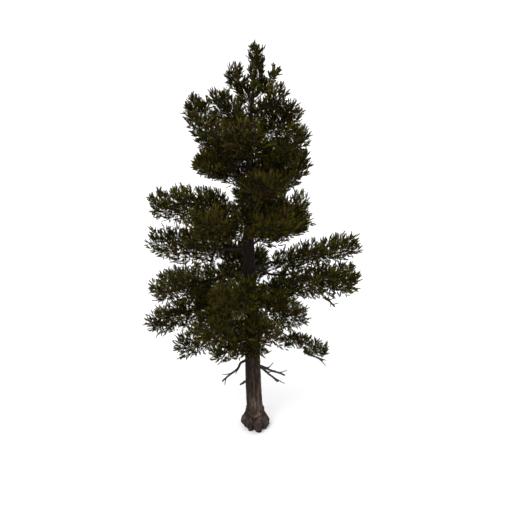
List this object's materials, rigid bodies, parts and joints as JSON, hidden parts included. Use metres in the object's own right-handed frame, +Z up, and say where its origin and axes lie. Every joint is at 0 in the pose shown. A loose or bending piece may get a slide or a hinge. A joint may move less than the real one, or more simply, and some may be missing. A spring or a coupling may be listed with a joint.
{
  "type": "pine tree",
  "caption": "Mature open-grown mountain pine: a tapering trunk with a root flare, tiered boughs with dark needle foliage up to a narrow top, and bare dead limbs low on the trunk.",
  "frame": {"origin": "centre of the flat cut under the trunk, at ground level", "axes": "+Z up the tree, -Y its front, +X its right side seen from the front"},
  "size_m": [7.753, 6.1183, 13.9906],
  "materials": {
    "trunk_bark": "rough grey-brown plated bark, darker and smoother towards the top, with a paler weathered stretch low down",
    "bough_bark": "rough dark grey-brown bark",
    "dead_wood": "weathered grey-brown bare wood",
    "needles": "very dark olive green needles in tufts, some yellowish or brownish sprays"
  },
  "bodies": {
    "root": {"trunk": "trunk_bark", "bough_tier1_back_left": "bough_bark", "bough_tier1_back_right": "bough_bark", "bough_tier1_left": "bough_bark", "bough_tier1_right": "bough_bark", "bough_tier1_right_front": "bough_bark", "bough_tier2_back": "bough_bark", "bough_tier2_left": "bough_bark", "bough_tier3_left": "bough_bark", "bough_tier3_right": "bough_bark", "bough_tier4_back_left": "bough_bark", "bough_tier4_back_right": "bough_bark", "bough_tier4_left": "bough_bark", "bough_tier6_back_left": "bough_bark", "bough_tier6_left": "bough_bark", "dead_end_right_lower": "dead_wood", "dead_end_right_upper": "dead_wood", "dead_limb_left": "dead_wood", "dead_limb_right": "dead_wood", "dead_stub_left": "dead_wood", "foliage_crown_top": "needles", "foliage_tier1_back_left": "needles", "foliage_tier1_back_right": "needles", "foliage_tier1_front": "needles", "foliage_tier1_front_left": "needles", "foliage_tier1_left": "needles", "foliage_tier1_right": "needles", "foliage_tier1_right_front": "needles", "foliage_tier2_back": "needles", "foliage_tier2_front": "needles", "foliage_tier2_front_left": "needles", "foliage_tier2_left": "needles", "foliage_tier2_right_front": "needles", "foliage_tier3_front": "needles", "foliage_tier3_left": "needles", "foliage_tier3_right": "needles", "foliage_tier4_back_left": "needles", "foliage_tier4_back_right": "needles", "foliage_tier4_left": "needles", "foliage_tier4_right": "needles", "foliage_tier5_back": "needles", "foliage_tier5_front_left": "needles", "foliage_tier5_front_right": "needles", "foliage_tier5_left": "needles", "foliage_tier5_right": "needles", "foliage_tier6_back_left": "needles", "foliage_tier6_back_right": "needles", "foliage_tier6_front": "needles", "foliage_tier6_left": "needles", "foliage_tier6_right": "needles", "foliage_tier6_right_front": "needles", "foliage_tier7_back": "needles", "foliage_tier7_front": "needles", "foliage_tier7_left": "needles", "foliage_tier7_right": "needles", "foliage_tier8_left": "needles", "foliage_tier8_right": "needles", "foliage_tier8_right_front": "needles", "foliage_tier9_left": "needles", "foliage_tier9_right": "needles"}
  },
  "joints": []
}
